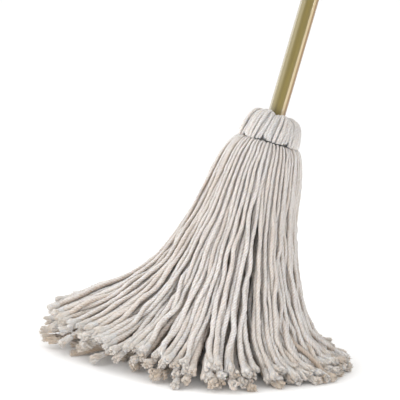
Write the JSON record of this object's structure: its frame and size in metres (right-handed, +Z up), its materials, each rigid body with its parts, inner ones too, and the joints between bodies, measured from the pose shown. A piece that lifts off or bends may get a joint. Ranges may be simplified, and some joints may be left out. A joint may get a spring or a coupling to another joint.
{
  "type": "string mop",
  "caption": "Wet string mop: a cut-end cotton yarn head, wire-bound in a folded bulb onto a straight round wooden pole, standing splayed on the floor.",
  "frame": {"origin": "on the floor, under the middle of the whole object's box", "axes": "+Z up, floor at z = 0; the mop faces -Y, its pole leans to +X and away to +Y, and the yarn trails to -X"},
  "size_m": [0.586, 0.387, 1.5749],
  "materials": {
    "pole_wood": "gloss",
    "binding_wire": "satin",
    "cotton_yarn": "matte"
  },
  "bodies": {
    "pole_and_binding": {"handle_pole": "pole_wood", "inner_binding_staples": "binding_wire", "inner_binding_wire": "binding_wire", "waist_binding_wire": "binding_wire", "inner_yarn_wrap": "cotton_yarn", "neck_yarn_wrap": "cotton_yarn", "yarn_fold_01": "cotton_yarn", "yarn_fold_02": "cotton_yarn", "yarn_fold_03": "cotton_yarn", "yarn_fold_04": "cotton_yarn", "yarn_fold_05": "cotton_yarn", "yarn_fold_06": "cotton_yarn", "yarn_fold_07": "cotton_yarn", "yarn_fold_08": "cotton_yarn", "yarn_fold_09": "cotton_yarn", "yarn_fold_10": "cotton_yarn", "yarn_fold_11": "cotton_yarn", "yarn_fold_12": "cotton_yarn"},
    "lock_01": {"yarn_lock_01": "cotton_yarn"},
    "tail_01": {"yarn_tail_01": "cotton_yarn"},
    "lock_02": {"yarn_lock_02": "cotton_yarn"},
    "tail_02": {"yarn_tail_02": "cotton_yarn"},
    "lock_03": {"yarn_lock_03": "cotton_yarn"},
    "tail_03": {"yarn_tail_03": "cotton_yarn"},
    "lock_04": {"yarn_lock_04": "cotton_yarn"},
    "tail_04": {"yarn_tail_04": "cotton_yarn"},
    "lock_05": {"yarn_lock_05": "cotton_yarn"},
    "tail_05": {"yarn_tail_05": "cotton_yarn"},
    "lock_06": {"yarn_lock_06": "cotton_yarn"},
    "tail_06": {"yarn_tail_06": "cotton_yarn"},
    "lock_07": {"yarn_lock_07": "cotton_yarn"},
    "tail_07": {"yarn_tail_07": "cotton_yarn"},
    "lock_08": {"yarn_lock_08": "cotton_yarn"},
    "tail_08": {"yarn_tail_08": "cotton_yarn"},
    "lock_09": {"yarn_lock_09": "cotton_yarn"},
    "tail_09": {"yarn_tail_09": "cotton_yarn"},
    "lock_10": {"yarn_lock_10": "cotton_yarn"},
    "tail_10": {"yarn_tail_10": "cotton_yarn"},
    "lock_11": {"yarn_lock_11": "cotton_yarn"},
    "tail_11": {"yarn_tail_11": "cotton_yarn"},
    "lock_12": {"yarn_lock_12": "cotton_yarn"},
    "tail_12": {"yarn_tail_12": "cotton_yarn"},
    "inner_lock_01": {"inner_yarn_lock_01": "cotton_yarn"},
    "inner_lock_02": {"inner_yarn_lock_02": "cotton_yarn"},
    "inner_lock_03": {"inner_yarn_lock_03": "cotton_yarn"},
    "inner_lock_04": {"inner_yarn_lock_04": "cotton_yarn"},
    "inner_lock_05": {"inner_yarn_lock_05": "cotton_yarn"},
    "inner_lock_06": {"inner_yarn_lock_06": "cotton_yarn"}
  },
  "joints": [
    {"name": "lock_01_swing", "type": "hinge", "parent": "pole_and_binding", "child": "lock_01", "pos_m": [0.02495, -0.00062, 0.26862], "axis": [0, -0.9903, 0.1392], "range_deg": [0, 50]},
    {"name": "tail_01_bend", "type": "hinge", "parent": "lock_01", "child": "tail_01", "pos_m": [0.03389, -0.01809, 0.14432], "axis": [0, -0.9903, 0.1392], "range_deg": [0, 30]},
    {"name": "lock_02_swing", "type": "hinge", "parent": "pole_and_binding", "child": "lock_02", "pos_m": [0.01972, 0.01935, 0.26701], "axis": [0.4876, -0.873, 0.011], "range_deg": [0, 50]},
    {"name": "tail_02_bend", "type": "hinge", "parent": "lock_02", "child": "tail_02", "pos_m": [0.0238, 0.02017, 0.15159], "axis": [0.4876, -0.873, 0.011], "range_deg": [0, 30]},
    {"name": "lock_03_swing", "type": "hinge", "parent": "pole_and_binding", "child": "lock_03", "pos_m": [0.00544, 0.03429, 0.26817], "axis": [0.8446, -0.5218, -0.1201], "range_deg": [0, 50]},
    {"name": "tail_03_bend", "type": "hinge", "parent": "lock_03", "child": "tail_03", "pos_m": [-0.00233, 0.04753, 0.15603], "axis": [0.8446, -0.5218, -0.1201], "range_deg": [0, 30]},
    {"name": "lock_04_swing", "type": "hinge", "parent": "pole_and_binding", "child": "lock_04", "pos_m": [-0.01406, 0.04022, 0.27181], "axis": [0.9752, -0.0308, -0.219], "range_deg": [0, 50]},
    {"name": "tail_04_bend", "type": "hinge", "parent": "lock_04", "child": "tail_04", "pos_m": [-0.03884, 0.05887, 0.15887], "axis": [0.9752, -0.0308, -0.219], "range_deg": [0, 30]},
    {"name": "lock_05_swing", "type": "hinge", "parent": "pole_and_binding", "child": "lock_05", "pos_m": [-0.03357, 0.03553, 0.27694], "axis": [0.8446, 0.4685, -0.2593], "range_deg": [0, 50]},
    {"name": "tail_05_bend", "type": "hinge", "parent": "lock_05", "child": "tail_05", "pos_m": [-0.07707, 0.05076, 0.16275], "axis": [0.8446, 0.4685, -0.2593], "range_deg": [0, 30]},
    {"name": "lock_06_swing", "type": "hinge", "parent": "pole_and_binding", "child": "lock_06", "pos_m": [-0.04785, 0.02148, 0.28218], "axis": [0.4876, 0.8422, -0.23], "range_deg": [0, 50]},
    {"name": "tail_06_bend", "type": "hinge", "parent": "lock_06", "child": "tail_06", "pos_m": [-0.11116, 0.02425, 0.15814], "axis": [0.4876, 0.8422, -0.23], "range_deg": [0, 30]},
    {"name": "lock_07_swing", "type": "hinge", "parent": "pole_and_binding", "child": "lock_07", "pos_m": [-0.05307, 0.00184, 0.28614], "axis": [0, 0.9903, -0.1392], "range_deg": [0, 50]},
    {"name": "tail_07_bend", "type": "hinge", "parent": "lock_07", "child": "tail_07", "pos_m": [-0.12982, -0.01706, 0.15208], "axis": [0, 0.9903, -0.1392], "range_deg": [0, 30]},
    {"name": "lock_08_swing", "type": "hinge", "parent": "pole_and_binding", "child": "lock_08", "pos_m": [-0.04785, -0.01813, 0.28775], "axis": [-0.4876, 0.873, -0.011], "range_deg": [0, 50]},
    {"name": "tail_08_bend", "type": "hinge", "parent": "lock_08", "child": "tail_08", "pos_m": [-0.11198, -0.05547, 0.16764], "axis": [-0.4876, 0.873, -0.011], "range_deg": [0, 30]},
    {"name": "lock_09_swing", "type": "hinge", "parent": "pole_and_binding", "child": "lock_09", "pos_m": [-0.03357, -0.03308, 0.28658], "axis": [-0.8446, 0.5218, 0.1201], "range_deg": [0, 50]},
    {"name": "tail_09_bend", "type": "hinge", "parent": "lock_09", "child": "tail_09", "pos_m": [-0.08238, -0.08467, 0.16749], "axis": [-0.8446, 0.5218, 0.1201], "range_deg": [0, 30]},
    {"name": "lock_10_swing", "type": "hinge", "parent": "pole_and_binding", "child": "lock_10", "pos_m": [-0.01406, -0.039, 0.28294], "axis": [-0.9752, 0.0308, 0.219], "range_deg": [0, 50]},
    {"name": "tail_10_bend", "type": "hinge", "parent": "lock_10", "child": "tail_10", "pos_m": [-0.04312, -0.09591, 0.16159], "axis": [-0.9752, 0.0308, 0.219], "range_deg": [0, 30]},
    {"name": "lock_11_swing", "type": "hinge", "parent": "pole_and_binding", "child": "lock_11", "pos_m": [0.00544, -0.03431, 0.27782], "axis": [-0.8446, -0.4685, 0.2593], "range_deg": [0, 50]},
    {"name": "tail_11_bend", "type": "hinge", "parent": "lock_11", "child": "tail_11", "pos_m": [-0.00389, -0.08454, 0.15668], "axis": [-0.8446, -0.4685, 0.2593], "range_deg": [0, 30]},
    {"name": "lock_12_swing", "type": "hinge", "parent": "pole_and_binding", "child": "lock_12", "pos_m": [0.01972, -0.02026, 0.27257], "axis": [-0.4876, -0.8422, 0.23], "range_deg": [0, 50]},
    {"name": "tail_12_bend", "type": "hinge", "parent": "lock_12", "child": "tail_12", "pos_m": [0.02391, -0.0563, 0.14953], "axis": [-0.4876, -0.8422, 0.23], "range_deg": [0, 30]},
    {"name": "yarn_inner_01_sway", "type": "hinge", "parent": "pole_and_binding", "child": "inner_lock_01", "pos_m": [0.00018, 0.0085, 0.27249], "axis": [0.4876, -0.873, 0.011], "range_deg": [0, 4]},
    {"name": "yarn_inner_02_sway", "type": "hinge", "parent": "pole_and_binding", "child": "inner_lock_02", "pos_m": [-0.01417, 0.01737, 0.27453], "axis": [0.9752, -0.0308, -0.219], "range_deg": [0, 4]},
    {"name": "yarn_inner_03_sway", "type": "hinge", "parent": "pole_and_binding", "child": "inner_lock_03", "pos_m": [-0.02853, 0.00941, 0.27894], "axis": [0.4876, 0.8422, -0.23], "range_deg": [0, 4]},
    {"name": "yarn_inner_04_sway", "type": "hinge", "parent": "pole_and_binding", "child": "inner_lock_04", "pos_m": [-0.02853, -0.00743, 0.2813], "axis": [-0.4876, 0.873, -0.011], "range_deg": [0, 4]},
    {"name": "yarn_inner_05_sway", "type": "hinge", "parent": "pole_and_binding", "child": "inner_lock_05", "pos_m": [-0.01417, -0.0163, 0.27926], "axis": [-0.9752, 0.0308, 0.219], "range_deg": [0, 4]},
    {"name": "yarn_inner_06_sway", "type": "hinge", "parent": "pole_and_binding", "child": "inner_lock_06", "pos_m": [0.00018, -0.00833, 0.27485], "axis": [-0.4876, -0.8422, 0.23], "range_deg": [0, 4]}
  ]
}
